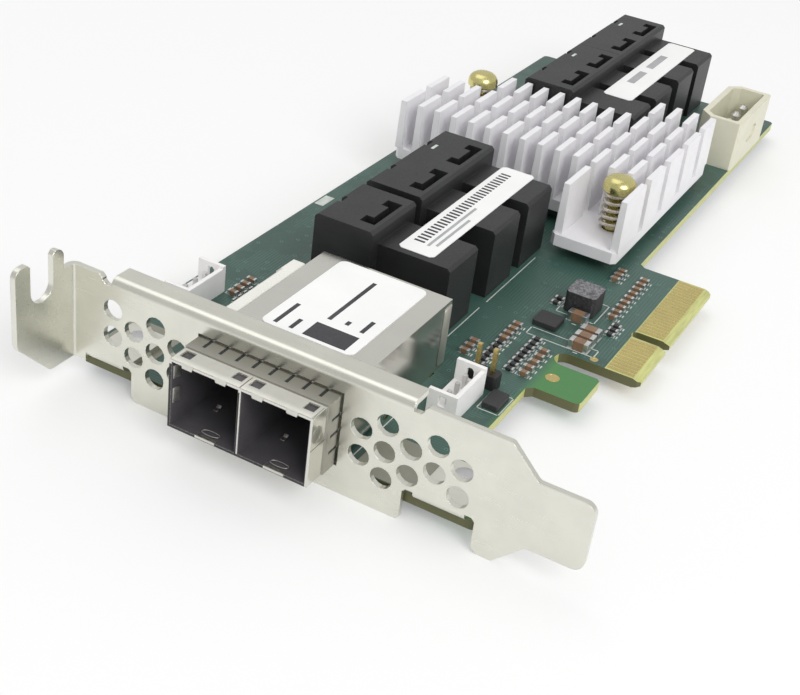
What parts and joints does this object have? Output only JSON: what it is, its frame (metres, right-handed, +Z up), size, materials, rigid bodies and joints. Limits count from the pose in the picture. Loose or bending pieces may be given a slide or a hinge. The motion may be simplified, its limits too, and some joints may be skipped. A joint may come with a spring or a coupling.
{
  "type": "sas expander card",
  "caption": "Low-profile storage expander card with a vented bracket, external and internal cable connectors, a stepped finned heatsink and an edge connector.",
  "frame": {"origin": "middle of the card's underside: the middle of its bounding box in plan, at the height of the bracket's lower edge", "axes": "+X runs along the bracket towards its tongue and the edge connector, +Y along the card away from the bracket's outer face, +Z up from the solder side to the component side"},
  "size_m": [0.0792, 0.179, 0.0218],
  "materials": {
    "board_green": "satin",
    "contact_gold": "satin",
    "bracket_zinc": "satin",
    "screw_steel": "satin",
    "cage_tin": "satin",
    "gasket_steel": "satin",
    "black_plastic": "matte",
    "sink_aluminium": "satin",
    "thermal_grey": "matte",
    "package_green": "satin",
    "screw_brass": "satin",
    "spring_steel": "satin",
    "cream_plastic": "satin",
    "guide_pale": "satin",
    "white_plastic": "satin",
    "pin_tin": "satin",
    "chip_black": "matte",
    "coil_grey": "matte",
    "capacitor_tan": "satin",
    "resistor_dark": "satin",
    "solder_tin": "satin",
    "label_white": "matte"
  },
  "bodies": {
    "root": {"circuit_board": "board_green", "edge_contacts_top": "contact_gold", "edge_contacts_underside": "contact_gold", "bracket": "bracket_zinc", "bracket_screws": "screw_steel", "port_cage": "cage_tin", "cage_gasket": "gasket_steel", "light_guide": "guide_pale", "port_receptacle_left": "black_plastic", "port_receptacle_right": "black_plastic", "port_contacts": "contact_gold", "internal_connector_front_single": "black_plastic", "internal_connector_front_double": "black_plastic", "internal_connector_rear_near": "black_plastic", "internal_connector_rear_far": "black_plastic", "internal_contacts_front_single": "contact_gold", "internal_contacts_front_double": "contact_gold", "internal_contacts_rear_near": "contact_gold", "internal_contacts_rear_far": "contact_gold", "heatsink_base": "sink_aluminium", "heatsink_fins": "sink_aluminium", "thermal_pad": "thermal_grey", "expander_chip": "package_green", "spring_screw_left": "screw_brass", "spring_screw_right": "screw_brass", "screw_spring_left": "spring_steel", "screw_spring_right": "spring_steel", "screw_nuts": "screw_steel", "power_connector": "cream_plastic", "power_pins": "pin_tin", "sideband_header_left": "white_plastic", "sideband_header_right": "white_plastic", "sideband_pins": "pin_tin", "jumper_base": "chip_black", "jumper_pins": "contact_gold", "supply_coil": "coil_grey", "regulator_chip": "chip_black", "switch_chip": "chip_black", "memory_chip": "chip_black", "memory_leads": "solder_tin", "crystal": "solder_tin", "capacitor_bodies": "capacitor_tan", "capacitor_ends": "solder_tin", "resistor_bodies": "resistor_dark", "resistor_ends": "solder_tin", "cage_label": "label_white", "front_connector_label": "label_white", "rear_connector_label": "label_white"}
  },
  "joints": []
}
